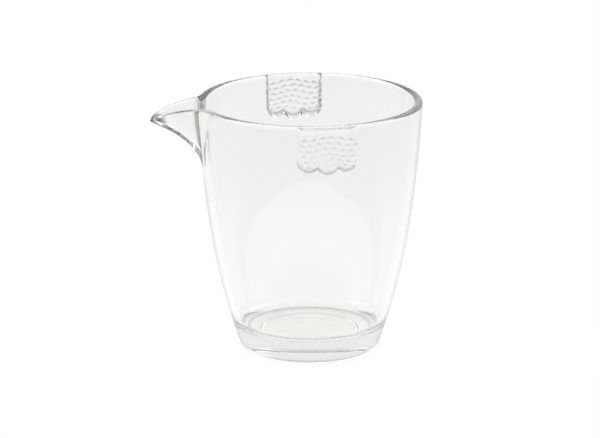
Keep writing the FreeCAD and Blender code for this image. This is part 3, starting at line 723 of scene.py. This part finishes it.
def glass_material(name, look, tint, fused, ripple_scale, ripple_height):
    """Clear glass: see-through where it is fused to its neighbour, rippled by its making."""
    material = bpy.data.materials.new(name)
    material.use_nodes = True
    sheet = NodeSheet(material.node_tree)
    place = sheet.place()
    ripple = sheet.node("ShaderNodeTexNoise", None, Vector=place, Scale=ripple_scale, **RIPPLE)
    bump = sheet.node(
        "ShaderNodeBump", None, Strength=1.0, Distance=ripple_height, Height=ripple
    )
    cloud = sheet.node("ShaderNodeTexNoise", None, Vector=place, **CLOUD)
    # Painted shade: faces that turn away at the silhouette take a dark colour.
    skim = sheet.node("ShaderNodeLayerWeight", None, 0.5, output="Facing").ramp(*SKIM_SPAN)
    skin = sheet.node("ShaderNodeAttribute", {"attribute_name": "skin"}, output="Fac")
    painted_shade_share = sheet.node("ShaderNodeAttribute", {"attribute_name": "painted_shade"}, output="Fac")
    # Painted shade along the pads' lower edges, around the foot and at the spout's tip.
    shade = sheet.blend(painted_shade_share, opaque_colour(tint), opaque_colour(look.fold_tint))
    shade = sheet.blend(skim * skin, shade, opaque_colour(look.edge_tint))
    surface = sheet.node(
        "ShaderNodeBsdfPrincipled", None, Base_Color=shade,
        Roughness=cloud.ramp(*CLOUD_SPAN, *CLOUD_ROUGHNESS), IOR=look.refraction,
        Transmission_Weight=1.0, Normal=bump,
    )
    # Light on its way to the floor passes straight through, a little dimmed.
    path = sheet.node("ShaderNodeLightPath", output="Is Shadow Ray")
    lighting = path.most(Wire(sheet, path.socket.node.outputs["Is Diffuse Ray"]))
    dimmed = sheet.node("ShaderNodeBsdfTransparent", None, opaque_colour(look.shadow_tint))
    lit = sheet.node("ShaderNodeMixShader", None, lighting, surface, dimmed)
    clear = sheet.node("ShaderNodeBsdfTransparent")
    mixed = sheet.node("ShaderNodeMixShader", None, fused(sheet, place), lit, clear)
    depth = sheet.node(
        "ShaderNodeVolumeAbsorption", None, Color=opaque_colour(look.depth_tint),
        Density=look.depth_density,
    )
    sheet.node("ShaderNodeOutputMaterial", None, mixed, depth)
    return material


def pad_contact(cup, pad):
    """Give a function that marks where the pads are fused to the cup's outer wall."""
    curve = WallCurve(cup)
    shape = PadShape(cup, pad, curve)

    def mark(sheet, place):
        across, along, up = sheet.split(place)
        within = abs(across) < abs(along) * math.tan(shape.half_turn) - CONTACT_SLACK
        under = up < shape.top - CONTACT_SLACK
        radius = (across * across + along * along).root()
        centre, sweep = curve.upper
        middle = centre.x + (sweep ** 2 - (up - centre.y) ** 2).root() - cup.wall / 2
        outside = radius > middle
        face = across * (shape.face / radius)
        side, central = shape.lobes[2], shape.lobes[1]
        outer_low = side[1].y - (side[2] ** 2 - (abs(face) - side[1].x) ** 2).root()
        inner_low = central[1].y - (central[2] ** 2 - face ** 2).most(0.0).root()
        is_middle = abs(face) < pad.cusp_offset
        low = outer_low + (inner_low - outer_low) * is_middle
        above = up > low + CONTACT_SLACK
        return within * under * above * outside

    return mark


def own_contact(sheet, _place):
    """The faces of a pad that are fused to the wall, from the pad's own attribute."""
    return sheet.node("ShaderNodeAttribute", {"attribute_name": "fused"}, output="Fac")


# ---------------------------------------------------------------- operators


class PITCHER_OT_cup(Operator):
    """Model the cup with its drawn spout as one piece of glass"""

    bl_idname = "pitcher.cup"
    bl_label = "Cup and Spout"

    def execute(self, context):
        scene = context.scene
        cup, spout, pad, look = scene.cup, scene.spout, scene.pad, scene.glass
        material = glass_material(
            "clear_glass", look, look.tint, pad_contact(cup, pad), *CLEAR_RIPPLE
        )
        finish_piece(
            "cup_with_spout", make_cup_mesh(cup, spout), material, "clear_glass",
            "glass_cup", "pouring_spout",
        )
        return {"FINISHED"}


class PITCHER_OT_pads(Operator):
    """Model the two hammered grip pads"""

    bl_idname = "pitcher.pads"
    bl_label = "Grip Pads"

    def execute(self, context):
        scene = context.scene
        cup, pad, look = scene.cup, scene.pad, scene.glass
        material = glass_material(
            "hammered_glass", look, look.pad_tint, own_contact, *HAMMERED_RIPPLE
        )
        for side, facing in (("front", 1), ("rear", -1)):
            finish_piece(
                f"{side}_hammered_pad", make_pad_mesh(cup, pad, facing), material,
                "hammered_glass", f"{side}_grip_pad",
            )
        return {"FINISHED"}


FLOOR_RADIUS, FLOOR_SIDES, FLOOR_GAP = 6.0, 64, 0.1 * MM
DARK_BLEND = 0.12  # how softly the dark wall starts and ends
DARK_TURNS = (math.radians(75), math.radians(55))  # where the dark wall starts, and is full
BOX_TURNS = {"left_box": math.radians(-55.0), "right_box": math.radians(60.0)}
SENSOR_WIDTH = 36.0
SIDE_SHIFT = 10 / 600  # how far right of the middle the cup's axis stands in the picture


class PITCHER_OT_stage(Operator):
    """Set up the floor, the light and the camera"""

    bl_idname = "pitcher.stage"
    bl_label = "Stage"

    def execute(self, context):
        scene, look = context.scene, context.scene.stage
        self.make_floor(scene, look)
        self.make_light(scene, look)
        self.make_camera(scene, look)
        scene.view_settings.view_transform = "Standard"
        # Light takes many turns inside thick glass before it comes out.
        scene.cycles.max_bounces = 160
        scene.cycles.transmission_bounces = 96
        scene.cycles.glossy_bounces = 128
        scene.cycles.transparent_max_bounces = 32
        return {"FINISHED"}

    def make_floor(self, scene, look):
        """A pale floor with painted shade that darkens it towards its far end, where only the
        glass shows it.
        """
        bm = bmesh.new()
        bmesh.ops.create_circle(bm, cap_ends=True, segments=FLOOR_SIDES, radius=FLOOR_RADIUS)
        bmesh.ops.translate(bm, verts=bm.verts, vec=(0, 0, -FLOOR_GAP))
        mesh = bpy.data.meshes.new("floor")
        bm.to_mesh(mesh)
        bm.free()
        floor = bpy.data.objects.new("floor", mesh)
        scene.collection.objects.link(floor)
        material = bpy.data.materials.new("pale_floor")
        material.use_nodes = True
        sheet = NodeSheet(material.node_tree)
        x, y, _ = sheet.split(sheet.place())
        distance = (x * x + y * y).root()
        away = distance.ramp(look.near, look.far)
        shade = sheet.blend(away, opaque_colour(look.floor), opaque_colour(look.backdrop))
        # Painted shade: the floor's far end darkens.
        dusk = distance.ramp(look.far, look.end)
        shade = sheet.blend(dusk, shade, opaque_colour(look.distance_colour))
        surface = sheet.node(
            "ShaderNodeBsdfPrincipled", None, Base_Color=shade, Roughness=0.6,
            Specular_IOR_Level=0.0,
        )
        # The backdrop is plain white to the camera; near the cup the floor keeps its shadow.
        white = sheet.node("ShaderNodeEmission", None, (1, 1, 1, 1), 1.0)
        path = sheet.node("ShaderNodeLightPath", output="Is Camera Ray")
        clean = distance.ramp(look.shadow_near, look.shadow_far)
        shown = sheet.node("ShaderNodeMixShader", None, path * clean, surface, white)
        sheet.node("ShaderNodeOutputMaterial", None, shown)
        mesh.materials.append(material)

    def make_light(self, scene, look):
        """A white studio with two soft boxes overhead and a dark wall behind the camera."""
        world = bpy.data.worlds.new("studio")
        scene.world = world
        world.use_nodes = True
        sheet = NodeSheet(world.node_tree)
        direction = sheet.node("ShaderNodeTexCoord", output="Generated")
        x, y, up = sheet.split(direction)
        flat = (x * x + y * y).root().most(0.001)
        forward = (y * math.cos(look.azimuth) - x * math.sin(look.azimuth)) / flat
        behind = (0.0 - forward).ramp(*[math.cos(turn) for turn in DARK_TURNS])
        low, high = look.dark_low, look.dark_high
        above = up.ramp(math.sin(low), math.sin(low + DARK_BLEND))
        below = up.ramp(math.sin(high), math.sin(high + DARK_BLEND), 1.0, 0.0)
        path = sheet.node("ShaderNodeLightPath", output="Is Camera Ray")
        outputs = path.socket.node.outputs
        glossy, through = (
            Wire(sheet, outputs[name]) for name in ("Is Glossy Ray", "Is Transmission Ray")
        )
        seen = glossy.most(through)
        dark = behind * above * below * seen
        level = 1.0 - dark * (1.0 - look.dark_level)
        plain = 1.0 - path.most(seen)
        level = level * (1.0 - plain * (1.0 - look.fill))
        light = sheet.node("ShaderNodeBackground", None, (1, 1, 1, 1), level)
        sheet.node("ShaderNodeOutputWorld", None, light)
        for name, turn in BOX_TURNS.items():
            self.make_box(scene, look, name, look.azimuth + turn)

    def make_box(self, scene, look, name, turn):
        """A soft box that faces the cup from above and behind it."""
        data = bpy.data.lights.new(name, "AREA")
        data.shape = "SQUARE"
        data.size = look.box_size
        data.energy = look.box_power
        lamp = bpy.data.objects.new(name, data)
        scene.collection.objects.link(lamp)
        flat, climb = math.cos(look.box_climb), math.sin(look.box_climb)
        out = Vector((math.sin(turn) * flat, math.cos(turn) * flat, climb))
        lamp.location = out * look.box_distance
        lamp.rotation_mode = "QUATERNION"
        lamp.rotation_quaternion = (-out).to_track_quat("-Z", "Y")

    def make_camera(self, scene, look):
        """A long lens that looks down at the cup."""
        data = bpy.data.cameras.new("camera")
        camera = bpy.data.objects.new("camera", data)
        scene.collection.objects.link(camera)
        scene.camera = camera
        data.lens = look.lens
        data.sensor_width = SENSOR_WIDTH
        turn = look.azimuth
        camera.location = (
            look.distance * math.sin(turn), -look.distance * math.cos(turn), look.camera_height
        )
        yaw = turn + math.atan(SIDE_SHIFT * SENSOR_WIDTH / look.lens)
        flat = math.cos(look.pitch)
        forward = Vector((-math.sin(yaw) * flat, math.cos(yaw) * flat, -math.sin(look.pitch)))
        camera.rotation_mode = "QUATERNION"
        camera.rotation_quaternion = forward.to_track_quat("-Z", "Y")


class PITCHER_PT_panel(Panel):
    """Lists the pitcher's pieces"""

    bl_idname = "PITCHER_PT_panel"
    bl_label = "Glass Serving Pitcher"
    bl_space_type = "VIEW_3D"
    bl_region_type = "UI"
    bl_category = "Pitcher"

    def draw(self, context):
        for operator in OPERATORS:
            self.layout.operator(operator.bl_idname)
        for group in SETTINGS:
            box = self.layout.box()
            settings = getattr(context.scene, group)
            for name in settings.bl_rna.properties.keys():
                if name not in ("rna_type", "name"):
                    box.prop(settings, name)


OPERATORS = (PITCHER_OT_cup, PITCHER_OT_pads, PITCHER_OT_stage)
SETTINGS = {
    "cup": CupSizes, "spout": SpoutSizes, "pad": PadSizes, "glass": GlassLook, "stage": StageLook
}


def register():
    """Register the classes and hang the settings on the scene."""
    for group in SETTINGS.values():
        bpy.utils.register_class(group)
    for operator in OPERATORS:
        bpy.utils.register_class(operator)
    bpy.utils.register_class(PITCHER_PT_panel)
    for name, group in SETTINGS.items():
        setattr(bpy.types.Scene, name, PointerProperty(type=group))


def unregister():
    """Take away what register has added."""
    for name in SETTINGS:
        delattr(bpy.types.Scene, name)
    bpy.utils.unregister_class(PITCHER_PT_panel)
    for operator in reversed(OPERATORS):
        bpy.utils.unregister_class(operator)
    for group in reversed(SETTINGS.values()):
        bpy.utils.unregister_class(group)


def main():
    """Build the whole model with the default sizes."""
    register()
    for operator in OPERATORS:
        family, name = operator.bl_idname.split(".")
        getattr(getattr(bpy.ops, family), name)()


if __name__ == "__main__":
    main()
